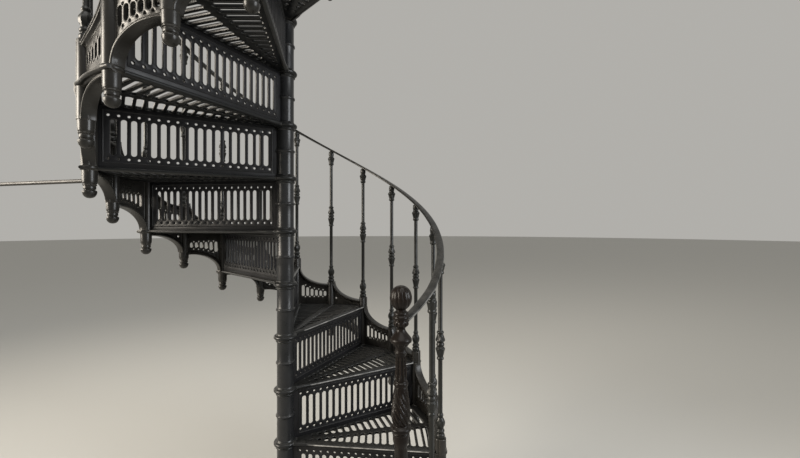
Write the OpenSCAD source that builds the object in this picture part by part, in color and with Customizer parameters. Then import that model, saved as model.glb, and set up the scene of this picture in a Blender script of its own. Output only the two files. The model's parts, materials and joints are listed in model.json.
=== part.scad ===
// Spiral staircase in cast iron: pierced treads and risers round a column,
// stepped and pierced outer strings, turned balusters and a helical handrail.
// Millimetres, +Z up. The origin is on the column axis at floor level.
// Angles run anticlockwise seen from above, from the front of the second tread.

/* [Steps] */
// height of one step
rise = 200; // [170:1:230]
// turn of one step
tread_angle = 35.7; // [32:0.1:40]
// distance from the column axis to the outer posts
post_circle = 587; // [450:1:800]
// thickness of a tread plate
plate_thickness = 6; // [5:1:14]
// how far the front edge of a tread stands in front of its riser
nosing = 10; // [4:1:20]
// radius of the round moulding on the tread edges
bead_radius = 6; // [4:0.5:9]

/* [Column] */
// outer radius of the hub sleeves
sleeve_radius = 31; // [24:1:60]
// radius of the pole inside the sleeves
pole_radius = 24; // [18:1:50]
// radius of the large collar at each tread
collar_radius = 43; // [36:1:80]
// radius of the small ring half way between two collars
ring_radius = 35; // [30:1:70]
// radius of the foot flange
flange_radius = 130; // [100:1:200]

/* [Risers] */
// thickness of a riser panel
riser_thickness = 8; // [5:1:12]
// number of upright slots in a riser
riser_slots = 18; // [9:1:19]
// centre distance of the riser slots
riser_pitch = 26.9; // [20:0.1:28]
// width of a riser slot
riser_slot_width = 16; // [8:0.5:20]
// length of a riser slot
riser_slot_length = 115; // [80:1:120]

/* [Treads] */
// number of slots in one row of a tread
tread_slots = 17; // [9:1:19]
// centre distance of the tread slots
tread_pitch = 27.5; // [20:0.5:32]
// width of a tread slot
tread_slot_width = 18; // [8:0.5:19]

/* [Outer string] */
// thickness of the pierced string
web_thickness = 9; // [6:1:14]
// depth of the moulded rims of the string
rim_depth = 36; // [14:1:38]
// height of the moulded rims of the string
rim_height = 17; // [6:1:20]
// radius of a post seen from outside
post_radius = 21.5; // [16:0.5:22]
// radius of the narrower back of a post
rib_radius = 15; // [10:0.5:16]
// width of a string slot
string_slot_width = 15; // [8:0.5:17]
// size of the small holes between the slots of the string
string_hole_radius = 5.5; // [2:0.5:6]

/* [Handrail] */
// height of the rail above the front edge of a tread
rail_height = 724; // [600:1:950]
// width of the rail
rail_width = 28; // [24:1:50]
// radius of a baluster shaft
shaft_radius = 7; // [5:0.5:12]

/* [Wall stay] */
// length of the stay rod
stay_length = 560; // [200:10:900]
// direction of the stay rod
stay_angle = 171; // [150:1:200]

/* [Hidden] */
$fn = 64;
wide_arc = 144;
tread_count = 12;
half_angle = tread_angle / 2;
first_angle = -tread_angle;
landing_end = 90;
landing_level = (tread_count + 1) * rise;
landing_front = first_angle + tread_count * tread_angle - 360;
landing_sweep = landing_end - landing_front;
landing_middle = (half_angle + landing_sweep) / 2;
gap = 0.3;
riser_slot_start = 71;
riser_slot_low = 39;
even_top = 0.22 * rise;
even_tip = -1.46 * rise;
odd_top = 0.07 * rise;
odd_tip = -1.375 * rise;
rib_set = 6;
post_back = post_circle - rib_set - rib_radius;
post_ring = post_radius + 4;
bead_circle = post_circle + 17;
web_middle = post_circle - 2;
rim_middle = post_circle - 3;
plate_radius = web_middle - web_thickness / 2 - gap;
post_bite = 1.5;
panel_width = 2 * post_circle * sin(half_angle / 2) - 2 * (post_radius - post_bite);
panel_reach = panel_width / 2 + 10;
arch_base = -rise;
sweep_rise = 0.44 * rise;
slot_level = -0.3 * rise;
slot_curve = panel_width + 64;
string_pitch = 23.2;
rail_depth = 7;
newel_foot = 42;
stay_level = 7 * rise - 0.22 * rise;

function level(n) = (n + 1) * rise;

function front(n) = first_angle + n * tread_angle;

// each step has two panels: the lower one hangs below its tread, the upper one stands on it

function arch_rise(lower) = (lower ? 0.43 : 0.38) * rise;

function sweep_base(lower) = (lower ? 0.145 : 0.025) * rise;

function arch_point(t, grow, high) =
    [panel_width / 2 - (panel_width + grow) * cos(t), arch_base + (high + grow) * sin(t)];

function sweep_point(t, grow, low) =
    [-panel_width / 2 + (panel_width + grow) * cos(t), low + sweep_rise - (sweep_rise + grow) * sin(t)];

// the open ends of the slots follow flatter curves than the rims

function slot_foot(x) =
    arch_base + (arch_rise(true) + 31) * sqrt(1 - pow((panel_width / 2 - x) / slot_curve, 2));

function slot_head(x) =
    -0.17 * rise + 0.74 * rise * (1 - sqrt(1 - pow((x + panel_width / 2) / slot_curve, 2)));

// Flat shapes shared by several pieces

module upright_slot(width, low, high) {
    translate([-width / 2, low + width / 2])
        square([width, high - low - width]);
    translate([0, low + width / 2])
        circle(r = width / 2);
    translate([0, high - width / 2])
        circle(r = width / 2);
}

module tube(inner, outer, low, high) {
    difference() {
        translate([0, 0, low])
            cylinder(r = outer, h = high - low);
        translate([0, 0, low - 1])
            cylinder(r = inner, h = high - low + 2);
    }
}

module ring(radius, section, height) {
    translate([0, 0, height])
        rotate_extrude()
            translate([radius, 0])
                circle(r = section);
}

// Column

module foot_flange() {
    color("dimgray")
        difference() {
            union() {
                cylinder(r = flange_radius, h = 14);
                translate([0, 0, 14])
                    cylinder(r1 = 84, r2 = 44, h = 30);
                ring(84, 5, 14);
            }
            translate([0, 0, -1])
                cylinder(r = pole_radius + gap, h = 60);
            for (turn = [45:90:315])
                rotate(turn)
                    translate([flange_radius - 22, 0, -1])
                        cylinder(r = 7, h = 20);
        }
}

module pole() {
    color("dimgray")
        cylinder(r = pole_radius, h = landing_level + 570);
}

module boss() {
    difference() {
        union() {
            translate([0, 0, -14])
                cylinder(r = collar_radius - 5, h = 20);
            ring(collar_radius - 6, 6, -4);
        }
        translate([0, 0, -20])
            cylinder(r = pole_radius + gap, h = 40);
    }
}

module step_sleeve(n) {
    low = n == 0 ? 44 + gap : level(n - 1) + 6 + gap;
    high = level(n) - 14 - gap;
    difference() {
        union() {
            translate([0, 0, low])
                cylinder(r = sleeve_radius, h = high - low);
            ring(ring_radius - 4, 4, level(n) - rise / 2);
        }
        translate([0, 0, low - 1])
            cylinder(r = pole_radius + gap, h = rise + 2);
    }
}

module sleeves_lower() {
    color("dimgray")
        for (n = [0:6])
            step_sleeve(n);
}

module sleeves_upper() {
    color("dimgray")
        for (n = [7:12])
            step_sleeve(n);
}

module top_sleeve() {
    color("dimgray")
        translate([0, 0, landing_level])
            tube(pole_radius + gap, sleeve_radius, 6 + gap, 570);
}

module top_finial() {
    color("dimgray")
        translate([0, 0, landing_level + 570 + gap])
            rotate_extrude()
                polygon(concat([[0, 0], [38, 0], [42, 6], [38, 14], [26, 20], [22, 34], [18, 50]],
                    [for (t = [-60:10:80]) [36 * cos(t), 82 + 36 * sin(t)]], [[0, 118]]));
}

// Treads

module wedge(sweep, before, after) {
    reach = 2 * post_circle;
    polygon([[0, -before], [reach, -before], [reach * cos(sweep / 2) * 1.2, reach * sin(sweep / 2) * 1.2],
        [reach * cos(sweep) - after * sin(sweep), reach * sin(sweep) + after * cos(sweep)],
        [-after * sin(sweep), after * cos(sweep)]]);
}

module slot_row(sweep, count) {
    for (i = [0:count - 1]) {
        radius = 100 + i * tread_pitch;
        reach = 2 * radius * tan(sweep / 2) - 24;
        translate([radius, 0])
            if (reach > tread_slot_width + 2)
                upright_slot(tread_slot_width, -reach / 2, reach / 2);
            else
                circle(r = max(reach, 8) / 2);
    }
}

module edge_bead(length) {
    translate([0, 0, 1 - bead_radius])
        rotate([0, 90, 0])
            cylinder(r = bead_radius, h = length);
}

module post_clearance() {
    translate([post_circle - rib_set, 0, -60])
        cylinder(r = rib_radius + gap, h = 120);
}

module newel_clearance() {
    translate([post_circle, 0, -2 * rise])
        cylinder(r = newel_foot + gap, h = 4 * rise);
}

module tread_body(sweep, rows) {
    difference() {
        union() {
            translate([0, 0, -plate_thickness])
                linear_extrude(plate_thickness)
                    difference() {
                        intersection() {
                            circle(r = plate_radius, $fn = wide_arc);
                            wedge(sweep, nosing - 1, nosing - 3);
                        }
                        for (row = [0:rows - 1])
                            rotate((row + 0.5) * sweep / rows)
                                slot_row(sweep / rows, tread_slots);
                    }
            translate([0, -nosing, 0])
                edge_bead(post_back - 2 * gap);
            rotate(sweep)
                translate([0, nosing - 2, 0])
                    edge_bead(post_back - 2 * gap);
            boss();
        }
        translate([0, 0, -30])
            cylinder(r = pole_radius + gap, h = 60);
        for (turn = [0:rows])
            rotate(turn * sweep / rows)
                post_clearance();
    }
}

module tread(n) {
    color("dimgray")
        rotate(front(n))
            translate([0, 0, level(n)])
                tread_body(tread_angle, 2);
}

module first_tread() {
    color("dimgray")
        rotate(front(0))
            translate([0, 0, level(0)])
                difference() {
                    tread_body(tread_angle, 2);
                    newel_clearance();
                }
}

module landing() {
    color("dimgray")
        rotate(landing_front)
            translate([0, 0, landing_level])
                difference() {
                    tread_body(landing_sweep, 3);
                    rotate(half_angle)
                        post_clearance();
                    rotate(landing_middle)
                        post_clearance();
                }
}

// Risers

module hub_clearance() {
    tube(0.01, sleeve_radius + gap, -20, rise + 20);
    tube(0.01, ring_radius + gap, rise / 2 - 5, rise / 2 + 5);
    tube(0.01, collar_radius + gap, -20, 7);
    tube(0.01, collar_radius + gap, rise - 15, rise + 20);
}

module riser_face() {
    low = riser_slot_low;
    high = low + riser_slot_length;
    difference() {
        translate([20, 0])
            square([post_back - gap - 20, rise - plate_thickness - gap]);
        for (i = [0:riser_slots - 1])
            translate([riser_slot_start + i * riser_pitch, 0])
                upright_slot(riser_slot_width, low, high);
        for (i = [0:riser_slots])
            for (z = [low - 11, high + 11])
                translate([riser_slot_start + (i - 0.5) * riser_pitch, z])
                    circle(r = 4);
    }
}

module riser(n) {
    rotate(front(n))
        translate([0, 0, level(n - 1)])
            difference() {
                translate([0, riser_thickness / 2, 0])
                    rotate([90, 0, 0])
                        linear_extrude(riser_thickness)
                            riser_face();
                hub_clearance();
            }
}

module risers_lower() {
    color("dimgray") {
        difference() {
            riser(0);
            rotate(front(0))
                newel_clearance();
        }
        for (n = [1:5])
            riser(n);
    }
}

module risers_upper() {
    color("dimgray")
        for (n = [6:11])
            riser(n);
}

module landing_riser() {
    color("dimgray")
        riser(12);
}

// Outer string

module panel_face(lower) {
    inside = rim_height / 2;
    high = arch_rise(lower);
    low = sweep_base(lower);
    difference() {
        translate([-panel_reach, arch_base])
            square([2 * panel_reach, low + sweep_rise - arch_base]);
        polygon(concat([for (t = [0:15:90]) arch_point(t, inside, high)],
            [[panel_reach + 9, arch_base + high + inside],
            [panel_reach + 9, arch_base - 1], [-panel_reach - 9, arch_base - 1]]));
        polygon(concat([for (t = [0:15:90]) sweep_point(t, inside, low)],
            [[-panel_reach - 9, low - inside],
            [-panel_reach - 9, low + sweep_rise + 1], [panel_reach + 9, low + sweep_rise + 1]]));
    }
}

module panel_rims(lower) {
    high = arch_rise(lower);
    low = sweep_base(lower);
    intersection() {
        translate([-panel_reach, arch_base])
            square([2 * panel_reach, low + sweep_rise - arch_base]);
        union() {
            polygon(concat([[panel_reach + 1, arch_base + high + rim_height],
                [panel_reach + 1, arch_base + high]],
                [for (t = [90:-6:0]) arch_point(t, 0, high)],
                [for (t = [0:6:90]) arch_point(t, rim_height, high)]));
            polygon(concat([[-panel_reach - 1, low - rim_height], [-panel_reach - 1, low]],
                [for (t = [90:-6:0]) sweep_point(t, 0, low)],
                [for (t = [0:6:90]) sweep_point(t, rim_height, low)]));
        }
    }
}

module small_hole(x, z, turn) {
    translate([x, z])
        rotate(turn)
            circle(r = string_hole_radius, $fn = 3);
}

module lower_slots() {
    for (i = [0:5]) {
        x = (i - 2.5) * string_pitch;
        translate([x, 0])
            upright_slot(string_slot_width, slot_foot(x), slot_level);
    }
    for (i = [0:4]) {
        x = (i - 2) * string_pitch;
        small_hole(x, slot_foot(x) - 3, 90);
        small_hole(x, slot_level + 3, -90);
    }
    translate([panel_width / 2 - 9, 0.155 * rise])
        circle(r = string_hole_radius - 1);
}

module upper_slots() {
    for (i = [0:5]) {
        x = (i - 2.5) * string_pitch;
        translate([x, -rise])
            upright_slot(string_slot_width, slot_level + rise, slot_head(x) + rise);
    }
    for (i = [0:4]) {
        x = (i - 2) * string_pitch;
        small_hole(x, slot_level - 3, 90);
        small_hole(x, slot_head(x) + 3, -90);
    }
    translate([-panel_width / 2 + 10, -0.65 * rise])
        circle(r = string_hole_radius - 1);
}

module on_cylinder(inner, outer) {
    intersection() {
        tube(inner, outer, -1.3 * rise, 1.3 * rise, $fn = wide_arc);
        translate([post_circle - 60, 0, 0])
            rotate([90, 0, 90])
                linear_extrude(100)
                    children();
    }
}

module panel(lower) {
    translate([web_middle - web_thickness / 2, 0, 0])
        rotate([90, 0, 90])
            linear_extrude(web_thickness)
                difference() {
                    panel_face(lower);
                    if (lower)
                        lower_slots();
                    else
                        upper_slots();
                }
    on_cylinder(rim_middle - rim_depth / 2, rim_middle + rim_depth / 2)
        panel_rims(lower);
}

// half round to the outside, narrower to the inside
module post_section(grow) {
    intersection() {
        circle(r = post_radius + grow);
        translate([-0.5 - grow, -post_radius - 5])
            square(2 * post_radius + 10);
    }
    translate([-rib_set, 0])
        circle(r = rib_radius + grow);
}

module pendant(height) {
    rotate_extrude()
        polygon(concat([[0, 0]], [for (t = [-80:10:40]) [post_radius * cos(t), 19 + 19 * sin(t)]],
            [[16, 33], [18.5, 35], [18.5, 45], [17, 47], [20, 49], [20, 51], [22.5, 57], [22.5, 61],
            [post_radius - 1, 63], [post_radius - 1, height], [0, height]]));
}

module post(top, tip) {
    translate([post_circle, 0, arch_base])
        linear_extrude(top - arch_base)
            post_section(0);
    translate([post_circle, 0, tip])
        pendant(arch_base + 1 - tip);
}

module even_post() {
    post(even_top, even_tip);
}

module odd_post() {
    translate([0, 0, rise / 2])
        post(odd_top, odd_tip);
}

module post_bead(height) {
    translate([post_circle, 0, height - bead_radius])
        rotate(-90)
            rotate_extrude(angle = 180)
                translate([post_ring - 5, 0])
                    circle(r = 5);
}

module outer_bead(from, to, height) {
    translate([0, 0, height - bead_radius])
        rotate(from)
            rotate_extrude(angle = to - from, $fn = wide_arc) {
                translate([bead_circle, 0])
                    circle(r = bead_radius);
                translate([web_middle, -bead_radius + 1])
                    square([bead_circle - web_middle, 2 * bead_radius - 2]);
            }
}

module next_post_cut() {
    translate([post_circle, 0, -2 * rise])
        linear_extrude(4 * rise)
            post_section(gap);
    translate([post_circle, 0, -2 * bead_radius - 1])
        cylinder(r = post_ring + gap, h = 2 * bead_radius + 2);
}

module step_panels() {
    rotate(half_angle)
        odd_post();
    rotate(half_angle)
        post_bead(0);
    rotate(half_angle / 2)
        panel(true);
    rotate(half_angle * 1.5)
        translate([0, 0, rise / 2])
            panel(false);
}

module string_piece(n) {
    color("dimgray")
        rotate(front(n))
            translate([0, 0, level(n)])
                difference() {
                    union() {
                        even_post();
                        post_bead(0);
                        post_bead(-rise);
                        step_panels();
                        outer_bead(0, tread_angle, 0);
                    }
                    rotate(tread_angle)
                        next_post_cut();
                }
}

module string_first() {
    color("dimgray")
        rotate(front(0))
            translate([0, 0, level(0)])
                difference() {
                    union() {
                        step_panels();
                        outer_bead(3, tread_angle, 0);
                    }
                    rotate(tread_angle)
                        next_post_cut();
                    newel_clearance();
                }
}

// Newel

module newel() {
    shaft = [[newel_foot, 0], [newel_foot, 16], [38, 22], [38, 150], [newel_foot, 156], [newel_foot, 166],
        [34, 176], [22, 196], [18, 240], [17, 400], [17, 606], [22, 622], [22.5, 640]];
    vase = [[24, 642], [24, 646], [22.5, 649], [27.5, 652], [27.5, 662], [22, 667], [24, 680], [24, 700],
        [21.5, 740], [18, 772], [19, 777], [19, 785], [15.5, 788], [15.5, 864], [18, 867], [18, 873],
        [20, 878]];
    bell = [[28, 895], [30, 899], [30, 905], [26, 910], [17, 917], [12, 925], [10, 932]];
    neck = [[14, 936], [20, 941], [21, 947], [19, 953], [15, 956], [20, 958], [20, 967], [15.5, 970],
        [15.5, 979], [14, 981]];
    color("dimgray")
        rotate(front(0))
            translate([post_circle, 0, 0])
                rotate_extrude()
                    polygon(concat([[0, 0]], shaft, vase, bell, neck,
                        [for (t = [-50:10:80]) [30.7 * cos(t), 1018 + 35 * sin(t)]], [[0, 1053]]));
}

// Balusters

function base_knob() = [[0, 0], [14, 0], [16.5, 5], [16.5, 12], [12, 18], [15.5, 22], [15.5, 29], [12, 33],
    [12.5, 38], [15.5, 47], [16, 58], [13, 68], [9.5, 76], [11, 80], [11, 87], [shaft_radius, 91]];

function middle_knob(z) = [[shaft_radius, z - 52], [11.5, z - 50], [11.5, z - 43], [10, z - 38],
    [14.3, z - 12], [14.3, z - 8], [12, z - 4], [14, z], [14, z + 7], [11.5, z + 12], [14.5, z + 17],
    [14.5, z + 21], [10, z + 43], [12, z + 46], [12, z + 51], [shaft_radius, z + 53]];

function top_knob(z) = [[shaft_radius, z - 88], [9.5, z - 85], [9.5, z - 80], [8.5, z - 76], [11, z - 68],
    [12, z - 62], [11, z - 58], [13.5, z - 55], [13.5, z - 51], [11.5, z - 45], [10, z - 14], [10.5, z - 8],
    [5, z - 6], [5, z - 3], [0, z - 3]];

module baluster(height) {
    rotate_extrude()
        polygon(concat(base_knob(), middle_knob(height / 2), top_knob(height)));
}

function post_head(k) = level(0) + (k + 2) * rise / 2 + (k % 2 == 0 ? even_top : odd_top) + gap;

module baluster_at(k) {
    rotate(k * half_angle)
        translate([post_circle, 0, post_head(k)])
            baluster(rail_level(k) - rail_depth - post_head(k));
}

module landing_balusters() {
    foot = landing_level + rise / 2 + odd_top + gap;
    color("dimgray") {
        for (k = [22, 23])
            baluster_at(k);
        for (turn = [landing_middle, landing_sweep])
            rotate(landing_front + turn)
                translate([post_circle, 0, foot])
                    baluster(rail_helix(23) - rail_depth - foot);
    }
}

module balusters(first, last) {
    color("dimgray")
        for (k = [first:last])
            baluster_at(k);
}

// Handrail

function rail_helix(k) = level(0) + (k + 2) * rise / 2 + rail_height;

// the rail flattens towards the newel and again at the landing
function rail_level(k) =
    k < -1 ? rail_helix(-1) + 0.37 * rise * (k + 1) :
    k < 22.6 ? rail_helix(k) :
    k < 23.4 ? rail_helix(22.6) + rise / 2 * ((k - 22.6) - pow(k - 22.6, 2) / 1.6) : rail_helix(23);

function rail_outline() = concat([for (i = [-3:3]) [i * rail_width / 6, 3 + 5 * (1 - pow(i / 3, 2))]],
    [[rail_width / 2, -2], [rail_width / 2 - 4, -rail_depth],
    [4 - rail_width / 2, -rail_depth], [-rail_width / 2, -2]]);

function rail_section(k) =
    [for (p = rail_outline()) let (reach = post_circle + p[0], turn = k * half_angle)
        [reach * cos(turn), reach * sin(turn), rail_level(k) + p[1]]];

module rail_length(from, to) {
    steps = ceil((to - from) * 6);
    side = len(rail_outline());
    start = from + gap / 300;
    end = to - gap / 300;
    points = [for (i = [0:steps]) each rail_section(start + (end - start) * i / steps)];
    polyhedron(points, concat(
        [[for (j = [0:side - 1]) j]],
        [[for (j = [side - 1:-1:0]) steps * side + j]],
        [for (i = [0:steps - 1]) for (j = [0:side - 1])
            [i * side + j, (i + 1) * side + j, (i + 1) * side + (j + 1) % side]],
        [for (i = [0:steps - 1]) for (j = [0:side - 1])
            [i * side + j, (i + 1) * side + (j + 1) % side, i * side + (j + 1) % side]]));
}

module handrail_lower() {
    color("dimgray") {
        rail_length(-1.88, -1);
        for (k = [-1:2:9])
            rail_length(k, k + 2);
    }
}

module handrail_upper() {
    color("dimgray") {
        for (k = [11:2:19])
            rail_length(k, k + 2);
        rail_length(21, 23.6);
    }
}

// Landing

module landing_string() {
    color("dimgray")
        rotate(landing_front)
            translate([0, 0, landing_level]) {
                even_post();
                post_bead(0);
                post_bead(-rise);
                rotate(half_angle / 2)
                    panel(true);
                outer_bead(0, half_angle, 0);
                for (turn = [half_angle, landing_middle, landing_sweep])
                    rotate(turn) {
                        odd_post();
                        post_bead(0);
                    }
                level_string(half_angle, landing_middle);
                level_string(landing_middle, landing_sweep);
            }
}

module level_string(from, to) {
    side = asin((post_ring + gap) / post_circle);
    start = from + side;
    end = to - side;
    low = -0.2 * rise;
    high = sweep_base(true) + sweep_rise;
    rotate(start)
        rotate_extrude(angle = end - start, $fn = wide_arc) {
            translate([web_middle - web_thickness / 2, low])
                square([web_thickness, high - low]);
            for (z = [low, high - rim_height])
                translate([rim_middle - rim_depth / 2, z])
                    square([rim_depth, rim_height]);
        }
    outer_bead(start, end, 0);
}

module landing_rail() {
    color("dimgray")
        translate([0, 0, landing_level + rail_height + rise / 2])
            rotate(landing_front + 1.6 * half_angle)
                rotate_extrude(angle = landing_sweep - 1.6 * half_angle + 1, $fn = wide_arc)
                    translate([post_circle, 0])
                        polygon(rail_outline());
}

module landing_bracket() {
    color("dimgray")
        difference() {
            translate([-14, 60, landing_level - 132])
                cube([10, 490, 120 - gap]);
            for (y = [155, 455])
                for (z = [landing_level - 105, landing_level - 45])
                    translate([-20, y, z])
                        rotate([0, 90, 0])
                            cylinder(r = 6, h = 20);
        }
}

// Wall stay

module wall_stay() {
    color("dimgray")
        rotate(12 * half_angle)
            translate([post_circle, 0, stay_level])
                rotate(stay_angle - 12 * half_angle) {
                    translate([post_radius + 1 + gap, 0, 0])
                        rotate([0, 90, 0])
                            cylinder(r = 6.5, h = stay_length - post_radius - 1 - gap);
                    translate([stay_length, 0, 0])
                        rotate([0, 90, 0])
                            difference() {
                                cylinder(r = 35, h = 8);
                                for (turn = [0:120:240])
                                    rotate(turn)
                                        translate([25, 0, -1])
                                            cylinder(r = 3.5, h = 10);
                            }
                }
}

foot_flange();
pole();
sleeves_lower();
sleeves_upper();
top_sleeve();
top_finial();
first_tread();  // tread_1
tread(1);  // tread_2
tread(2);  // tread_3
tread(3);  // tread_4
tread(4);  // tread_5
tread(5);  // tread_6
tread(6);  // tread_7
tread(7);  // tread_8
tread(8);  // tread_9
tread(9);  // tread_10
tread(10);  // tread_11
tread(11);  // tread_12
landing();
risers_lower();
risers_upper();
landing_riser();
string_first();  // string_1
string_piece(1);  // string_2
string_piece(2);  // string_3
string_piece(3);  // string_4
string_piece(4);  // string_5
string_piece(5);  // string_6
string_piece(6);  // string_7
string_piece(7);  // string_8
string_piece(8);  // string_9
string_piece(9);  // string_10
string_piece(10);  // string_11
string_piece(11);  // string_12
landing_string();
newel();
balusters(-1, 6);  // balusters_lower
balusters(7, 14);  // balusters_middle
balusters(15, 21);  // balusters_upper
landing_balusters();  // balusters_landing
handrail_lower();
handrail_upper();
landing_rail();
landing_bracket();
wall_stay();
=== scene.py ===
"""Looks of a cast-iron spiral staircase, built round its CAD frame. Metres, +Z up; shapes in millimetres."""

import json
import math

import bmesh
import bpy
from mathutils import Matrix, Vector
from mathutils.geometry import delaunay_2d_cdt


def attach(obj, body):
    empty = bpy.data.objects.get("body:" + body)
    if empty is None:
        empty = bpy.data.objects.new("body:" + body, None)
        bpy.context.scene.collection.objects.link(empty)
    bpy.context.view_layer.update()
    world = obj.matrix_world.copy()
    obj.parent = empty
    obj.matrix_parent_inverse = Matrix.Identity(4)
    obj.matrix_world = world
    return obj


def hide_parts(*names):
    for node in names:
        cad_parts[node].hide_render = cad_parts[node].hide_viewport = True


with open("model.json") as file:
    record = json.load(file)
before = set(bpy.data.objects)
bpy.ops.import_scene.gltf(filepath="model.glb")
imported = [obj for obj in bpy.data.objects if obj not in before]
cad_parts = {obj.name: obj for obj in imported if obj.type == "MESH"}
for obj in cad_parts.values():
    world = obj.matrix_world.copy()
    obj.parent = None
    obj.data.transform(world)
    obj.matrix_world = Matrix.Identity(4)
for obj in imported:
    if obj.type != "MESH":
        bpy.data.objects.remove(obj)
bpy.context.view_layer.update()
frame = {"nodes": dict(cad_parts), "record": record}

# Driving sizes in millimetres and radians, the same as in the part's source but for the even tips,
# which hang a little lower here
RISE = 200
TREAD_ANGLE = math.radians(35.7)
HALF_ANGLE = TREAD_ANGLE / 2
FIRST_ANGLE = -TREAD_ANGLE
TREAD_COUNT = 12
LANDING_LEVEL = (TREAD_COUNT + 1) * RISE
LANDING_FRONT = FIRST_ANGLE + TREAD_COUNT * TREAD_ANGLE - math.tau
LANDING_SWEEP = math.radians(90) - LANDING_FRONT
LANDING_MIDDLE = (HALF_ANGLE + LANDING_SWEEP) / 2

# Column
SLEEVE_RADIUS = 31
COLUMN_TOP = LANDING_LEVEL + 570
FINIAL_LEVEL = COLUMN_TOP + 0.3
FLANGE_TOP = 14
FLOOR_BOLT_CIRCLE = 108

# Posts
POST_CIRCLE = 587
POST_RADIUS = 21.5
POST_BITE = 1.5
RIB_RADIUS = 15
RIB_SET = 6
POST_BACK = POST_CIRCLE - RIB_SET - RIB_RADIUS
EVEN_TOP = 0.22 * RISE
EVEN_TIP = -1.49 * RISE
ODD_TOP = 0.07 * RISE
ODD_TIP = -1.375 * RISE

# Treads
PLATE_RADIUS = 580.2
PLATE_THICKNESS = 10
TREAD_SLOTS = 17
TREAD_SLOT_START = 100
TREAD_SLOT_PITCH = 27.5
TREAD_SLOT_WIDTH = 18
TREAD_BAR = 24

# Risers
RISER_THICKNESS = 8
RISER_HEIGHT = RISE - 6.3
RISER_SLOTS = 18
RISER_SLOT_START = 71
RISER_PITCH = 26.9
RISER_SLOT_LOW = 39
RISER_SLOT_HIGH = 154
RISER_SLOT_WIDTH = 16

# Outer string
WEB_MIDDLE = POST_CIRCLE - 2
WEB_THICKNESS = 9
RIM_MIDDLE = POST_CIRCLE - 3
PANEL_WIDTH = 2 * POST_CIRCLE * math.sin(HALF_ANGLE / 2) - 2 * (POST_RADIUS - POST_BITE)
ARCH_BASE = -RISE
LOWER_ARCH = 0.43 * RISE
UPPER_ARCH = 0.38 * RISE
SWEEP_RISE = 0.44 * RISE
LOWER_SWEEP = 0.145 * RISE
UPPER_SWEEP = 0.025 * RISE
PANEL_SLOTS = 6
PANEL_PITCH = 23.2
PANEL_SLOT_WIDTH = 15
SLOT_LEVEL = -0.3 * RISE
SLOT_CURVE = PANEL_WIDTH + 64

# Balustrade; the rail's course is counted in posts
RAIL_HEIGHT = 724
RAIL_BED = 7
RAIL_START = -1.9
RAIL_EASE_START = 22.6
RAIL_EASE_END = 23.4
RAIL_END = 25.26
RAIL_STEPS = 190

# Fixings
STAY_LENGTH = 560.0
STAY_ANGLE = math.radians(171.0)
STAY_LEVEL = 7 * RISE - EVEN_TOP
STAY_HOLE_CIRCLE = 25
BRACKET_FACE = -4
BRACKET_BOLT_REACHES = (155, 455)
BRACKET_BOLT_DROPS = (105, 45)

# Camera, fitted to the photo: metres, radians and the lens in millimetres
CAMERA_PLACE = Vector((0.581, -1.3815, 1.220))
CAMERA_TURN = math.radians(5.87)
CAMERA_LENS = 16.92
CAMERA_SHIFT = -0.005

# Colours, linear
WALL_COLOUR = (0.44, 0.43, 0.405)
FLOOR_COLOUR = (0.5, 0.495, 0.47)
DUST = (0.085, 0.082, 0.075)
# Pale bare metal: rubbed paint, and also a painted highlight on the treads' nosings and the rail's lip and
# top
BARE_METAL_AND_HIGHLIGHT = (0.50, 0.49, 0.47)


def level(n):
    """Height of tread n, counted from 0."""
    return (n + 1) * RISE


def front(n):
    """Angle of the front edge of tread n, counted from 0."""
    return FIRST_ANGLE + n * TREAD_ANGLE


# Shapes: pairs of corners and faces

def loft(rings):
    """A skin over rings of corners, capped at both ends."""
    side = len(rings[0])
    last = (len(rings) - 1) * side
    corners = [corner for ring in rings for corner in ring]
    faces = []
    for low in range(0, last, side):
        high = low + side
        faces += [(low + j, low + (j + 1) % side, high + (j + 1) % side, high + j) for j in range(side)]
    faces.append(tuple(range(side - 1, -1, -1)))
    faces.append(tuple(range(last, last + side)))
    return corners, faces


def merged(shapes):
    """Several shapes as one."""
    corners, faces = [], []
    for some_corners, some_faces in shapes:
        base = len(corners)
        corners += some_corners
        faces += [tuple(base + i for i in face) for face in some_faces]
    return corners, faces


def placed(shape, turn=0.0, reach=0.0, height=0.0):
    """Moves a shape outwards along X, then turns it round the column's axis and lifts it."""
    cos, sin = math.cos(turn), math.sin(turn)
    corners = [((x + reach) * cos - y * sin, (x + reach) * sin + y * cos, z + height) for x, y, z in shape[0]]
    return corners, shape[1]


def spline(t, a, b, c, d):
    """A smooth run from b to c as t goes from 0 to 1, with a before them and d after."""
    square = 2 * a - 5 * b + 4 * c - d
    cube = 3 * b - a - 3 * c + d
    return 0.5 * (2 * b + (c - a) * t + square * t ** 2 + cube * t ** 3)


def smooth(points, steps=3):
    """A rounded run through the points."""
    run = [tuple(points[0])]
    last = len(points) - 1
    for i in range(last):
        around = (points[max(i - 1, 0)], points[i], points[i + 1], points[min(i + 2, last)])
        for step in range(1, steps + 1):
            run.append(tuple(spline(step / steps, *values) for values in zip(*around)))
    return run


def lifted(profile, height):
    """A profile of radii and heights, moved up."""
    return [(radius, height + z) for radius, z in profile]


def lathe(profile, segments, swell=None):
    """A turned shape from radii and heights; swell(angle, height) scales the radius for lobes and flutes."""
    rings = []
    for radius, height in profile:
        ring = []
        for i in range(segments):
            angle = math.tau * i / segments
            reach = max(radius, 0.2) * (swell(angle, height) if swell else 1)
            ring.append((reach * math.cos(angle), reach * math.sin(angle), height))
        rings.append(ring)
    return loft(rings)


def part_turn(profile, start, end, steps):
    """A closed profile of radii and heights, swept round the Z axis from one angle to another."""
    rings = []
    for i in range(steps + 1):
        angle = start + (end - start) * i / steps
        cos, sin = math.cos(angle), math.sin(angle)
        rings.append([(radius * cos, radius * sin, height) for radius, height in profile])
    return loft(rings)


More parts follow.
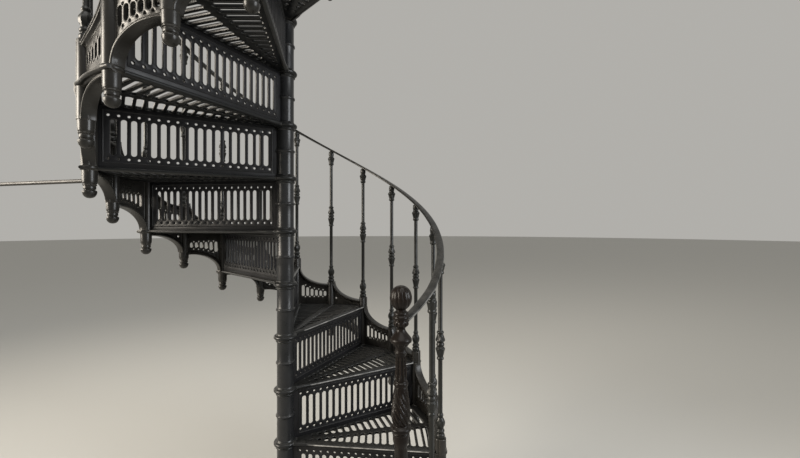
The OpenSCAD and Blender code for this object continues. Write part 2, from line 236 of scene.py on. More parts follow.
def window(value, low, high, fade):
    """1 between two heights and 0 away from them, with soft ends."""
    rise = min(max((value - low) / fade, 0), 1)
    fall = min(max((high - value) / fade, 0), 1)
    ease = min(rise, fall)
    return ease * ease * (3 - 2 * ease)


# Pierced plates

def inset(loop, distance):
    """Moves the points of a closed loop to their left."""
    moved = []
    count = len(loop)
    for i, (x, y) in enumerate(loop):
        before = Vector(loop[i]) - Vector(loop[i - 1])
        after = Vector(loop[(i + 1) % count]) - Vector(loop[i])
        first = Vector((-before.y, before.x)).normalized()
        second = Vector((-after.y, after.x)).normalized()
        step = (first + second) * (distance / max(1 + first.dot(second), 0.4))
        moved.append((x + step.x, y + step.y))
    return moved


def inside(point, loop):
    """Whether a point lies in a loop, by the number of edges to its right."""
    x, y = point
    found = False
    for i, (bx, by) in enumerate(loop):
        ax, ay = loop[i - 1]
        if (ay > y) != (by > y) and x < ax + (bx - ax) * (y - ay) / (by - ay):
            found = not found
    return found


def box_of(loop):
    """Least and greatest X of a loop, then least and greatest Y."""
    across = [x for x, _ in loop]
    up = [y for _, y in loop]
    return min(across), max(across), min(up), max(up)


def within(point, box):
    """Whether a point lies in a box."""
    return box[0] <= point[0] <= box[1] and box[2] <= point[1] <= box[3]


def in_plate(point, outline, holes, boxes):
    """Whether a point lies in the outline and clear of its holes, whose boxes are tried first."""
    if not inside(point, outline):
        return False
    return not any(within(point, box) and inside(point, hole) for hole, box in zip(holes, boxes))


def grid_points(outline, holes, spacing):
    """Points spread over the plate, clear of its edges, so that it bends evenly."""
    box = box_of(outline)
    guard = [inset(loop, 3.0) for loop in (outline, *holes)]
    boxes = [box_of(hole) for hole in guard[1:]]
    points = []
    for i in range(1, int((box[1] - box[0]) / spacing) + 1):
        for j in range(1, int((box[3] - box[2]) / spacing) + 1):
            point = (box[0] + i * spacing, box[2] + (j + 0.5 * (i % 2)) * spacing)
            if in_plate(point, guard[0], guard[1:], boxes):
                points.append(point)
    return points


def loop_spans(loops):
    """Number of each loop's first point, in the list of all their points, and how many it has."""
    spans = []
    start = 0
    for loop in loops:
        spans.append((start, len(loop)))
        start += len(loop)
    return spans


def filled(loops, spans, points):
    """Triangles over the points, inside the first loop and clear of the others."""
    edges = [(start + i, start + (i + 1) % count) for start, count in spans for i in range(count)]
    found, _, triangles, sources, _, _ = delaunay_2d_cdt(
        [Vector(point) for point in points], edges, [], 0, 1e-6)
    boxes = [box_of(hole) for hole in loops[1:]]
    kept = []
    for triangle in triangles:
        middle = sum((found[i] for i in triangle), Vector((0, 0))) / 3
        if in_plate(middle, loops[0], loops[1:], boxes):
            kept.append(tuple(sources[i][0] for i in triangle))
    return kept


def pierced_plate(outline, holes, thickness, bevel, place, spacing=0):
    """A plate with rounded arrises; the outline runs anticlockwise, the holes clockwise.

    place(along, up, out) gives each corner its place on the real surface. A plate that is bent needs a
    spacing in mm, for corners in the middle of its faces.
    """
    half = thickness / 2
    layers = [(bevel, half), (bevel * 0.3, half - bevel * 0.3), (0, half - bevel),
              (0, bevel - half), (bevel * 0.3, bevel * 0.3 - half), (bevel, -half)]
    loops = [outline, *holes]
    spans = loop_spans(loops)
    flat = [inset(loop, bevel) for loop in loops]
    points = [point for loop in flat for point in loop]
    edge = len(points)
    if spacing:
        points += grid_points(flat[0], flat[1:], spacing)
    corners = []
    for depth, out in layers:
        for loop in loops:
            corners += [place(x, y, out) for x, y in inset(loop, depth)]
    faces = []
    for layer in range(len(layers) - 1):
        low = layer * edge
        high = low + edge
        for start, count in spans:
            for i in range(start, start + count):
                j = start + (i - start + 1) % count
                faces.append((low + i, low + j, high + j, high + i))
    face_middle = len(corners)
    back_edge = face_middle - edge
    back_middle = face_middle + len(points) - edge
    corners += [place(x, y, half) for x, y in points[edge:]]
    corners += [place(x, y, -half) for x, y in points[edge:]]
    for face in filled(flat, spans, points):
        faces.append(tuple(i if i < edge else face_middle + i - edge for i in face))
        faces.append(tuple(back_edge + i if i < edge else back_middle + i - edge for i in reversed(face)))
    return corners, faces


def slot_loop(x, low, high, width):
    """An upright slot with round ends, clockwise."""
    radius = width / 2
    steps = 7
    loop = []
    for centre, turn in ((high - radius, 0.0), (low + radius, math.pi)):
        for i in range(steps + 1):
            angle = turn + math.pi * i / steps
            loop.append((x + radius * math.cos(angle), centre + radius * math.sin(angle)))
    return loop[::-1]


def round_loop(x, y, radius, steps=12):
    """A round hole, clockwise."""
    angles = [-math.tau * i / steps for i in range(steps)]
    return [(x + radius * math.cos(angle), y + radius * math.sin(angle)) for angle in angles]


def trefoil_loop(x, y, radius, turn):
    """A small hole with three rounded corners, clockwise."""
    loop = []
    for i in range(12):
        angle = -math.tau * i / 12
        reach = radius * (0.72 + 0.2 * math.cos(3 * angle))
        loop.append((x + reach * math.cos(angle + turn), y + reach * math.sin(angle + turn)))
    return loop


# Column

def sleeve_profile():
    """The pole's sleeves from foot to top, with a small ring half way up each step."""
    ring = [(31.4, -6.4), (33.2, -4.6), (34.9, -2.2), (34.9, 1.6), (33.4, 3.8), (31.6, 4.8)]
    profile = [(34, 43), (34, 50)]
    for n in range(TREAD_COUNT + 1):
        middle = level(n) - RISE / 2
        profile += [(SLEEVE_RADIUS, middle - 40), (SLEEVE_RADIUS, middle - 7.5)]
        profile += smooth(lifted(ring, middle))
        profile += [(SLEEVE_RADIUS, middle + 6.5), (SLEEVE_RADIUS, middle + 60)]
    profile += [(SLEEVE_RADIUS, COLUMN_TOP - 12), (SLEEVE_RADIUS, COLUMN_TOP)]
    return profile


def boss():
    """The collar of a tread: a thick ring over a groove and a thinner ring."""
    return lathe(smooth([
        (31, -24), (31.6, -22.5), (34.6, -20.8), (35.6, -18.4), (34.4, -16), (32.6, -14.8), (33, -13.4),
        (37.2, -12), (41, -9.4), (42.9, -5.6), (42.8, -2), (40.6, 1.6), (37.4, 3.4), (34.6, 5), (33.2, 7.6),
        (32, 10.2), (30.6, 11.4)]), 48)


def foot_casting():
    """The flange on the floor: a rounded rim, a low ring and a flare up to the column."""
    profile = [(30, 0), (127, 0)]
    profile += smooth([
        (127.8, 0.2), (129.2, 1.4), (129.8, 3.4), (129.8, 10), (128, 13), (124, 14), (96, 14.2),
        (90, 15), (88.5, 18), (85, 19), (80, 18.5), (76, 20), (62, 28), (51, 37), (46, 42), (43, 44),
        (30, 44.4)])
    return lathe(profile, 72)


def finial_casting():
    """The cap of the column with its lobed ball."""
    profile = smooth([
        (0.3, 0), (36, 0), (40, 2), (41.8, 6), (40.4, 11), (37, 14), (30, 17.5), (25.6, 21),
        (22.4, 28), (20.6, 38), (18.2, 48), (19.4, 51), (24.5, 56), (31, 65), (35.2, 75), (35.6, 86),
        (32, 98), (24, 109), (13, 116), (5, 118), (0.3, 118)])

    def swell(angle, z):
        return 1 - 0.035 * window(z, 54, 114, 12) * (1 + math.cos(12 * angle)) / 2

    return placed(lathe(profile, 72, swell), height=FINIAL_LEVEL)


# Treads

# Section of a tread's edge: across it and up
NOSING = [
    (-5, 0.8), (-9.5, 0.9), (-12.8, 0.2), (-15, -1.7), (-15.9, -4.6), (-15.2, -7.4), (-13, -9.4),
    (-10.8, -9.8), (-9.8, -10.8), (-7.8, -11.4), (-5.8, -10.6), (-4.4, -8), (-4, -4)]
NOSING_MIDDLE = (-10, -4.5)


def nosing(side, start, end):
    """The moulded edge of a tread along X, swelling into the collar at its inner end."""
    middle, height = NOSING_MIDDLE
    steps = 24
    rings = []
    for i in range(steps + 1):
        x = start + (end - start) * (i / steps) ** 1.8
        flare = 1 + 0.55 * (1 - window(x, 66, 9999, 34))
        ring = []
        for y, z in NOSING:
            across = (y - middle) * flare
            ring.append((x, middle + across if side > 0 else -middle - across - 2,
                         height + (z - height) * flare))
        rings.append(ring)
    return loft(rings)


def tread_outline(sweep):
    """A wedge between two arcs, anticlockwise from the front edge's inner end."""
    inner, before, after = 33, 9, 7
    outline = []
    start = -math.asin(before / PLATE_RADIUS)
    end = sweep + math.asin(after / PLATE_RADIUS)
    steps = max(int(math.degrees(sweep) / 1.8), 8)
    inner_start = -math.asin(before / inner)
    inner_end = sweep + math.asin(after / inner)
    for radius, low, high, count in ((PLATE_RADIUS, start, end, steps), (inner, inner_end, inner_start, 10)):
        for i in range(count + 1):
            angle = low + (high - low) * i / count
            outline.append((radius * math.cos(angle), radius * math.sin(angle)))
    return outline


def tread_slots(sweep, rows):
    """Rows of crosswise slots, longer towards the outside; the innermost are round holes."""
    part = sweep / rows
    holes = []
    for row in range(rows):
        middle = (row + 0.5) * part
        cos, sin = math.cos(middle), math.sin(middle)
        for i in range(TREAD_SLOTS):
            radius = TREAD_SLOT_START + i * TREAD_SLOT_PITCH
            reach = 2 * radius * math.tan(part / 2) - TREAD_BAR
            if reach > TREAD_SLOT_WIDTH + 2:
                loop = slot_loop(radius, -reach / 2, reach / 2, TREAD_SLOT_WIDTH)
            else:
                loop = round_loop(radius, 0, max(reach, 8) / 2)
            holes.append([(x * cos - y * sin, x * sin + y * cos) for x, y in loop])
    return holes


def tread_casting(sweep, rows):
    """A tread with its slots, its moulded edges and its collar on the column."""
    plate = pierced_plate(tread_outline(sweep), tread_slots(sweep, rows), PLATE_THICKNESS, 1.3,
                          lambda x, y, z: (x, y, z - PLATE_THICKNESS / 2))
    start, end = 30, POST_BACK - 1
    return merged([plate, nosing(1, start, end), placed(nosing(-1, start, end), turn=sweep), boss()])


# Risers

# Section of a riser's bead: across it and out of the face
RISER_BEAD = [(-1.7, 0.4), (-1.5, -0.9), (-0.8, -1.7), (0, -2), (0.8, -1.7), (1.5, -0.9), (1.7, 0.4)]


def bead_strip(start, end, face):
    """A thin raised line on a riser from one point to another, on one of its faces."""
    run = Vector(end) - Vector(start)
    side = Vector((-run.y, run.x)).normalized()
    surface = RISER_THICKNESS / 2
    return loft([[(x + side.x * across, face * (surface - out), z + side.y * across)
                  for across, out in RISER_BEAD] for x, z in (start, end)])


def riser_casting():
    """A riser with a row of slots between two rows of dots, framed by beads on both faces."""
    end = POST_BACK + 4
    outline = [(28, 0), (end, 0), (end, RISER_HEIGHT), (28, RISER_HEIGHT)]
    holes = [slot_loop(RISER_SLOT_START + RISER_PITCH * i, RISER_SLOT_LOW, RISER_SLOT_HIGH, RISER_SLOT_WIDTH)
             for i in range(RISER_SLOTS)]
    for i in range(RISER_SLOTS + 1):
        x = RISER_SLOT_START + RISER_PITCH * (i - 0.5)
        holes += [round_loop(x, z, 4.1, 10) for z in (RISER_SLOT_LOW - 11, RISER_SLOT_HIGH + 11)]
    plate = pierced_plate(outline, holes, RISER_THICKNESS, 2.0, lambda x, y, z: (x, z, y))
    strips = []
    for face in (-1, 1):
        strips += [bead_strip((50, z), (555, z), face) for z in (15, 179)]
        strips += [bead_strip((x, 15), (x, 179), face) for x in (50, 555)]
    return merged([plate, *strips])


# Outer string

def bend(x, y, z):
    """Lays a flat panel on the cylinder of the string: along it, up, and out of it."""
    angle = x / WEB_MIDDLE
    return ((WEB_MIDDLE + z) * math.cos(angle), (WEB_MIDDLE + z) * math.sin(angle), y)


def arch_point(t, grow, high):
    """A point on the arch below a panel, or further into the panel, as t goes through a quarter turn."""
    return (PANEL_WIDTH / 2 - (PANEL_WIDTH + grow) * math.cos(t), ARCH_BASE + (high + grow) * math.sin(t))


def sweep_point(t, grow, low):
    """A point on the sweep above a panel, or further into the panel, as t goes through a quarter turn."""
    return (-PANEL_WIDTH / 2 + (PANEL_WIDTH + grow) * math.cos(t),
            low + SWEEP_RISE - (SWEEP_RISE + grow) * math.sin(t))


def quarter(count):
    """Angles through a quarter turn."""
    return [math.pi / 2 * i / count for i in range(count + 1)]


def slot_foot(x):
    """Foot of a slot in a lower panel, along a curve over its arch."""
    return ARCH_BASE + (LOWER_ARCH + 31) * math.sqrt(1 - ((PANEL_WIDTH / 2 - x) / SLOT_CURVE) ** 2)


def slot_head(x):
    """Head of a slot in an upper panel, along a curve under its sweep."""
    return -0.17 * RISE + 0.74 * RISE * (1 - math.sqrt(1 - ((x + PANEL_WIDTH / 2) / SLOT_CURVE) ** 2))


def panel_holes(lower):
    """Slots with a row of trefoils at both ends, and one dot in the panel's tall corner."""
    holes = []
    for i in range(PANEL_SLOTS):
        x = (i - (PANEL_SLOTS - 1) / 2) * PANEL_PITCH
        low, high = (slot_foot(x), SLOT_LEVEL) if lower else (SLOT_LEVEL, slot_head(x))
        holes.append(slot_loop(x, low, high, PANEL_SLOT_WIDTH))
    for i in range(PANEL_SLOTS - 1):
        x = (i - (PANEL_SLOTS - 2) / 2) * PANEL_PITCH
        if lower:
            places = ((x + 0.8, slot_foot(x) - 5.8), (x, SLOT_LEVEL + 3))
        else:
            places = ((x, SLOT_LEVEL - 3), (x - 0.8, slot_head(x) + 6.4))
        for (across, up), turn in zip(places, (math.pi / 2, -math.pi / 2)):
            holes.append(trefoil_loop(across, up, 5, turn))
    if lower:
        holes.append(round_loop(PANEL_WIDTH / 2 - 9, 0.155 * RISE, 4.5))
    else:
        holes.append(round_loop(10 - PANEL_WIDTH / 2, -0.65 * RISE, 4.5))
    return holes


# Section of a rim: how far from its free edge, and how far out of its middle
RIM_SECTION = [
    (0.2, -12), (0, 0), (0.2, 12), (0.5, 15.2), (1.9, 17.2), (3.9, 17.4), (5.5, 16), (6.2, 14.2),
    (7.2, 14.8), (8.8, 15.6), (10.4, 14.8), (11.2, 12.6), (12.2, 9.8), (14.2, 7.6), (16.8, 6.4),
    (17, 1), (16.8, -4.4), (14, -6.4), (11.4, -9.6), (10.4, -13), (8, -15.4), (4, -16.6), (1.4, -15.8)]


def rim_corner(x, z, out):
    """A corner of a rim, bent onto the string and out of the rim's own middle."""
    return bend(x, z, out + RIM_MIDDLE - WEB_MIDDLE)


def rim(point, size, length):
    """A moulded rim along a curve, which runs on level at its end, into the post."""
    rings = [[rim_corner(*point(t, away, size), out) for away, out in RIM_SECTION] for t in quarter(24)]
    last = []
    for away, out in RIM_SECTION:
        x, z = point(math.pi / 2, away, size)
        last.append(rim_corner(x + length, z, out))
    return loft([*rings, last])


def panel(lower):
    """One pierced panel with a rim along its arch and one along its sweep."""
    high = LOWER_ARCH if lower else UPPER_ARCH
    low = LOWER_SWEEP if lower else UPPER_SWEEP
    end = PANEL_WIDTH / 2 + 14
    bottom = [arch_point(t, 9, high) for t in quarter(20)]
    top = [sweep_point(t, 9, low) for t in quarter(20)]
    outline = [*bottom, (end, bottom[-1][1]), (end, top[0][1]),
               *top, (-end, top[-1][1]), (-end, bottom[0][1])]
    plate = pierced_plate(outline, panel_holes(lower), WEB_THICKNESS, 1.9, bend, spacing=13)
    return merged([plate, rim(arch_point, high, 9), rim(sweep_point, low, -9)])


def post_shaft(low, high):
    """Half round outside and narrower inside, with a softened head."""
    outline = []
    arcs = ((POST_RADIUS, 0, range(-96, 97, 12)), (RIB_RADIUS, RIB_SET, range(84, 277, 16)))
    for radius, set_in, angles in arcs:
        for angle in angles:
            turn = math.radians(angle)
            outline.append((radius * math.cos(turn) - set_in, radius * math.sin(turn)))
    rings = []
    for height, scale in ((low, 1), (high - 3.2, 1), (high - 1.4, 0.975), (high - 0.4, 0.93), (high, 0.86)):
        rings.append([(x * scale, y * scale, height) for x, y in outline])
    return loft(rings)


def pendant(height):
    """The turned drop of a post: a ball, a neck with two rings, and a drum up to the post."""
    return lathe(smooth([
        (0.3, 0), (6, 0.9), (11.6, 4), (15.4, 8.8), (17.6, 14), (18.6, 19), (18.4, 21.6), (16.8, 23.6),
        (14.2, 25.2), (13.4, 26.6), (15.2, 27.8), (16, 29.4), (16, 36), (15.2, 37.4), (16.8, 38.6),
        (18.4, 40.4), (17.4, 42.4), (16.6, 43.4), (18, 44.8), (18.8, 48), (19.4, 56), (20, height)], 2), 28)


def post(top, tip):
    """A post from its head to the tip of its pendant."""
    return merged([post_shaft(ARCH_BASE, top), placed(pendant(ARCH_BASE + 1 - tip), height=tip)])


# Section of the moulding of a tread: radius and height
BEAD_SECTION = [
    (586, 0), (600, 0), (604.5, -0.4), (608, -2), (609.8, -5), (609, -8.4), (606.4, -11),
    (602.6, -11.6), (599.6, -11), (597.2, -12), (595.6, -14), (592.6, -15.4), (586, -15.8)]


def string_bead(start, end, posts=(), height=0):
    """The moulding of a tread along the string, which bulges round the posts at the given angles."""
    rings = []
    steps = max(int((end - start) * 110), 8)
    for i in range(steps + 1):
        angle = start + (end - start) * i / steps
        bulge = max((math.exp(-((angle - post) * POST_CIRCLE / 17) ** 2) for post in posts), default=0)
        cos, sin = math.cos(angle), math.sin(angle)
        ring = []
        for radius, z in BEAD_SECTION:
            reach = radius + 2.6 * bulge
            ring.append((reach * cos, reach * sin, height + z * (1 + 0.12 * bulge)))
        rings.append(ring)
    return loft(rings)


def post_collar(start, end, height):
    """The moulding round a post's front, from start to end in mm along the string."""
    return string_bead(math.asin(start / POST_CIRCLE), math.asin(end / POST_CIRCLE), (0,), height)


def even_post():
    """A post in line with a tread's front edge, with its collars and the ring over its pendant."""
    ring = lathe(smooth([
        (19, 0.6), (22.6, 0.4), (24.6, -1), (25.2, -4), (24.8, -7.6), (23.2, -10), (21.8, -10.8), (21.4, -12),
        (19, -12.4)], 2), 32)
    return merged([
        placed(post(EVEN_TOP, EVEN_TIP), reach=POST_CIRCLE),
        placed(ring, reach=POST_CIRCLE, height=-RISE),
        post_collar(-7, 31, 0),
        post_collar(-31, 21, -RISE)])


def odd_post():
    """A post half way along a tread."""
    return placed(post(ODD_TOP, ODD_TIP), reach=POST_CIRCLE, height=RISE / 2)


def step_panels():
    """The string of one step without its first post."""
    side = math.asin(30 / POST_CIRCLE)
    return merged([
        placed(odd_post(), turn=HALF_ANGLE),
        placed(panel(True), turn=HALF_ANGLE / 2),
        placed(panel(False), turn=HALF_ANGLE * 1.5, height=RISE / 2),
        string_bead(side, TREAD_ANGLE - side, (0, HALF_ANGLE, TREAD_ANGLE))])


def level_string(start, end):
    """The plain string of the landing, between two posts."""
    low = -0.2 * RISE
    high = LOWER_SWEEP + SWEEP_RISE
    side = math.asin(POST_RADIUS * 0.9 / POST_CIRCLE)
    half = WEB_THICKNESS / 2
    sections = [[(WEB_MIDDLE - half, low + 4), (WEB_MIDDLE + half, low + 4),
                 (WEB_MIDDLE + half, high - 4), (WEB_MIDDLE - half, high - 4)]]
    for edge, way in ((low, 1), (high, -1)):
        sections.append([(RIM_MIDDLE + out, edge + way * away) for away, out in RIM_SECTION])
    return merged([part_turn(section, start + side, end - side, 24) for section in sections])


def landing_string():
    """The string of the landing: one panel as on the steps, then level between its posts."""
    posts = (HALF_ANGLE, LANDING_MIDDLE, LANDING_SWEEP)
    shapes = [even_post(), placed(panel(True), turn=HALF_ANGLE / 2)]
    shapes.append(string_bead(math.asin(30 / POST_CIRCLE), LANDING_SWEEP, (0, *posts)))
    shapes += [placed(odd_post(), turn=turn) for turn in posts]
    shapes += [level_string(HALF_ANGLE, LANDING_MIDDLE), level_string(LANDING_MIDDLE, LANDING_SWEEP)]
    return merged(shapes)


# Balustrade

def rail_helix(k):
    """Height of the rail over post k, where it climbs with the steps."""
    return level(0) + (k + 2) * RISE / 2 + RAIL_HEIGHT


def rail_level(k):
    """Height of the rail over post k: it flattens towards the newel and again at the landing."""
    if k < -1:
        return rail_helix(-1) + 0.37 * RISE * (k + 1)
    if k < RAIL_EASE_START:
        return rail_helix(k)
    middle = (RAIL_EASE_START + RAIL_EASE_END) / 2
    if k < RAIL_EASE_END:
        run = k - RAIL_EASE_START
        return rail_helix(RAIL_EASE_START) + RISE / 2 * (run - run ** 2 / (4 * (middle - RAIL_EASE_START)))
    return rail_helix(middle)


def post_head(k):
    """Height of the head of post k."""
    return level(0) + (k + 2) * RISE / 2 + (EVEN_TOP if k % 2 == 0 else ODD_TOP)


# Profiles of a baluster: radius and height, from its foot, from its middle and from its top
BALUSTER_VASE = [
    (13.4, 0), (15, 1.6), (16.5, 5.2), (16.5, 11), (14.8, 15.4), (12.2, 18.2), (13.4, 20.4),
    (15.4, 22.6), (15.6, 26), (15.2, 29), (12.6, 31.6), (11.8, 35), (12.8, 39), (15.2, 46), (16.2, 54),
    (15.4, 62), (12.6, 69.4), (9.8, 75), (9.6, 77.6), (11, 80), (11.4, 83.4), (10.6, 86.6), (8.8, 89),
    (8.1, 91.6)]
BALUSTER_KNOB = [
    (8.1, -54), (9.6, -52), (12.4, -50), (12.8, -46.5), (11.8, -43), (10.4, -41), (11.2, -37),
    (13, -26), (15.6, -15), (17, -10.5), (14.8, -7), (12.2, -3.6), (13.6, -1), (14.8, 2), (14.8, 5),
    (13.4, 8.6), (12, 11.6), (14.2, 14.6), (17.2, 18), (16, 23), (13, 32), (11, 41), (10.8, 43.6),
    (12.8, 46), (13, 49), (11.6, 52), (9, 54), (8.1, 56)]
BALUSTER_HEAD = [
    (8.1, -79), (10.4, -77), (13, -74.6), (13.4, -70), (12.2, -66.6), (12.6, -62), (13.6, -56),
    (14.6, -50), (16.6, -44), (17.2, -40), (14.4, -36), (12, -33), (12.4, -28), (13.6, -22),
    (13.8, -16), (12.6, -11.4), (13.2, -9), (12.6, -6), (9, -4), (7, -2), (7, 1)]


def baluster(height):
    """A turned baluster: a vase at its foot, a double bell half way and a leafed collar under the rail."""
    middle = height / 2
    profile = smooth(BALUSTER_VASE, 2)
    profile += smooth(lifted(BALUSTER_KNOB, middle), 2)
    profile += smooth(lifted(BALUSTER_HEAD, height), 2)
    lobes = ((0.075, 38, 71, 8), (0.07, middle - 38, middle - 8, 8), (0.07, middle + 16, middle + 41, 8),
             (0.09, height - 64, height - 38, 7))

    def swell(angle, z):
        deepest = sum(depth * window(z, low, high, fade) for depth, low, high, fade in lobes)
        return 1 + deepest * math.cos(8 * angle)

    return lathe(profile, 24, swell)


def baluster_row(first, last):
    """Balusters on a run of posts."""
    shapes = []
    for k in range(first, last + 1):
        height = rail_level(k) - RAIL_BED - post_head(k)
        shapes.append(placed(baluster(height), turn=k * HALF_ANGLE, reach=POST_CIRCLE, height=post_head(k)))
    return shapes


def landing_balusters():
    """The last two balusters over the steps and the two on the landing's level string."""
    shapes = baluster_row(22, 23)
    foot = LANDING_LEVEL + RISE / 2 + ODD_TOP
    for turn in (LANDING_MIDDLE, LANDING_SWEEP):
        shape = baluster(rail_helix(23) - RAIL_BED - foot)
        shapes.append(placed(shape, turn=LANDING_FRONT + turn, reach=POST_CIRCLE, height=foot))
    return merged(shapes)


# Outer half of the handrail's section: out of its middle and up
RAIL_HALF = [
    (7.6, -9), (9.8, -8.9), (10.2, -8), (12.4, -7.8), (13.7, -6.9), (14, -5.2), (13.7, -3.5),
    (12.6, -2.6), (10, -2.4), (9.4, -1.2), (9.8, -0.4), (11.6, -0.1), (11.9, 0.9), (9.8, 2.1),
    (4.8, 2.7), (0, 2.8)]
RAIL_SECTION = RAIL_HALF + [(-out, up) for out, up in reversed(RAIL_HALF[:-1])]


def handrail():
    """The rail from the newel to the end of the landing."""
    rings = []
    for i in range(RAIL_STEPS + 1):
        k = RAIL_START + (RAIL_END - RAIL_START) * i / RAIL_STEPS
        cos, sin = math.cos(k * HALF_ANGLE), math.sin(k * HALF_ANGLE)
        rings.append([((POST_CIRCLE + out) * cos, (POST_CIRCLE + out) * sin, rail_level(k) + up)
                      for out, up in RAIL_SECTION])
    return loft(rings)


# Profiles of the newel, from the floor up: radius and height
NEWEL_SHAFT = [
    (41.6, 0), (42, 3), (42, 14), (41, 17), (38.4, 20), (38, 24), (38, 148), (38.6, 152), (41.6, 156),
    (42, 160), (41.6, 165), (38, 170), (34, 176), (27, 185), (22.4, 196), (19.4, 214), (18, 240)]
NEWEL_VASE = [
    (17.6, 260), (17.2, 330), (17, 400), (17, 500), (17, 596), (18, 607), (20.6, 616), (22.2, 623),
    (22.5, 630), (22.4, 638), (22, 640.6), (23.8, 642), (24.4, 644), (24, 646.4), (22, 648.6),
    (23.6, 650.4), (28, 652.4), (29.2, 656), (28.6, 660.4), (25, 664), (21.6, 666.4), (21, 669),
    (22.8, 675), (24.6, 684), (25.2, 694), (24.8, 708), (22.8, 728), (20.2, 752), (18, 770),
    (17.4, 773), (19.6, 775.6), (20.6, 779), (20, 784), (17, 787), (16.4, 790)]
NEWEL_HEAD = [
    (17.2, 800), (16.6, 812), (15.8, 830), (15.2, 852), (15.4, 862), (17.6, 865.2), (18.4, 868),
    (17.4, 871), (16, 873), (15.8, 879), (17, 883), (20.6, 888), (22.4, 891.6), (22.8, 893.4),
    (27.6, 894.8), (30, 897.4), (30.6, 901), (30, 905), (27.4, 909), (23.4, 914), (18.6, 920),
    (14.4, 926), (12.4, 931), (13, 935.4), (17.6, 940), (20, 945), (20.4, 950), (19.4, 954.4),
    (17.8, 956.2), (19, 957.6), (22, 959.4), (22.8, 963), (22.2, 966.8), (20, 969.4), (19, 971),
    (20.4, 972.6), (21, 975), (19.6, 978.6), (15.6, 981.6), (13.4, 984), (15.2, 987), (21.4, 992.4),
    (27, 1000.4), (30.2, 1010), (31, 1018), (29.8, 1027), (25.8, 1038), (18.4, 1046.6), (9, 1051.6),
    (0.3, 1053)]


def newel():
    """The newel at the foot: leafed shaft, spiral vase, fluted neck, bell, knob and a gadrooned onion."""
    profile = smooth(NEWEL_SHAFT) + smooth(NEWEL_VASE, 4) + smooth(NEWEL_HEAD, 4)

    def swell(angle, z):
        onion = -0.07 * window(z, 984, 1050, 7) * (1 - abs(math.sin(6 * angle + 0.014 * (z - 984)))) ** 1.6
        knob = 0.09 * window(z, 938, 953, 4) * math.cos(12 * angle)
        bell = 0.05 * window(z, 880, 898, 6) * math.cos(12 * angle)
        flutes = -0.26 * window(z, 792, 860, 5) * abs(math.cos(5 * angle)) * (
            1 - 0.3 * math.cos(z * math.tau / 11))
        vase = window(z, 668, 766, 10) * (0.07 - 0.20 * (1 - abs(math.sin(6.5 * angle + 0.15 * z))) ** 1.4)
        leaves = 0.13 * window(z, 250, 612, 26) * math.sin(4 * angle + 0.03 * z) * (
            0.75 + 0.25 * math.cos(z * math.tau / 38))
        return 1 + onion + knob + bell + flutes + vase + leaves

    return placed(lathe(profile, 96, swell), turn=front(0), reach=POST_CIRCLE)


# Bolts

def hex_bolt(size, height):
    """A hexagon head on a washer, along +Z."""
    washer = lathe([(0.2, -0.5), (size * 0.72, -0.5), (size * 0.72, 1.2), (size * 0.66, 1.7), (0.2, 1.7)], 24)
    corners = [(size * math.cos(math.tau * i / 6), size * math.sin(math.tau * i / 6)) for i in range(6)]
    head = [[(x * scale, y * scale, z) for x, y in corners]
            for z, scale in ((1.5, 0.55), (1.6, 0.575), (height - 1, 0.575), (height, 0.5))]
    return merged([washer, loft(head)])


def facing_x(shape, x, y, z):
    """Lays a shape that stands on Z along X, at a place."""
    return [(up + x, across + y, z - out) for out, across, up in shape[0]], shape[1]


def foot_bolts():
    """Four bolts through the flange on the floor."""
    bolt = placed(hex_bolt(19, 9), reach=FLOOR_BOLT_CIRCLE, height=FLANGE_TOP)
    return merged([placed(bolt, turn=math.radians(turn)) for turn in range(45, 360, 90)])


def stay_screws():
    """Round heads in the plate of the stay, on the side of the stairs."""
    head = lathe([(0.2, -1), (5.6, -1), (6, -0.4), (5.8, 0.6), (4.6, 2), (2.6, 2.9), (0.2, 3.2)], 20)
    heads = []
    for hole in (0, math.tau / 3, math.tau * 2 / 3):
        across, up = STAY_HOLE_CIRCLE * math.sin(hole), STAY_HOLE_CIRCLE * math.cos(hole)
        heads.append(([(STAY_LENGTH - z, y + across, x - up) for x, y, z in head[0]], head[1]))
    corners, faces = placed(merged(heads), turn=STAY_ANGLE, height=STAY_LEVEL)
    post = 12 * HALF_ANGLE
    start_x, start_y = POST_CIRCLE * math.cos(post), POST_CIRCLE * math.sin(post)
    return [(x + start_x, y + start_y, z) for x, y, z in corners], faces


def bracket_bolts():
    """Four bolts through the landing's bracket."""
    return merged([facing_x(hex_bolt(18, 8), BRACKET_FACE, reach, LANDING_LEVEL - drop)
                   for reach in BRACKET_BOLT_REACHES for drop in BRACKET_BOLT_DROPS])


# Materials

def new_material(name):
    """A material with an empty node tree, its output and a principled shader."""
    material = bpy.data.materials.new(name)
    material.use_nodes = True
    tree = material.node_tree
    tree.nodes.clear()
    output = tree.nodes.new("ShaderNodeOutputMaterial")
    shader = tree.nodes.new("ShaderNodeBsdfPrincipled")
    tree.links.new(shader.outputs["BSDF"], output.inputs["Surface"])
    return material, tree, shader


def noise(tree, scale, detail=4.0, rough=0.55):
    """Noise from 0 to 1 in the piece's own space."""
    node = tree.nodes.new("ShaderNodeTexNoise")
    node.inputs["Scale"].default_value = scale
    node.inputs["Detail"].default_value = detail
    node.inputs["Roughness"].default_value = rough
    coordinates = tree.nodes.new("ShaderNodeTexCoord")
    tree.links.new(coordinates.outputs["Object"], node.inputs["Vector"])
    return node.outputs["Fac"]


def remap(tree, value, low, high, to_low, to_high):
    """A value moved from one range to another, and held inside it."""
    node = tree.nodes.new("ShaderNodeMapRange")
    node.inputs["From Min"].default_value = low
    node.inputs["From Max"].default_value = high
    node.inputs["To Min"].default_value = to_low
    node.inputs["To Max"].default_value = to_high
    tree.links.new(value, node.inputs["Value"])
    return node.outputs["Result"]


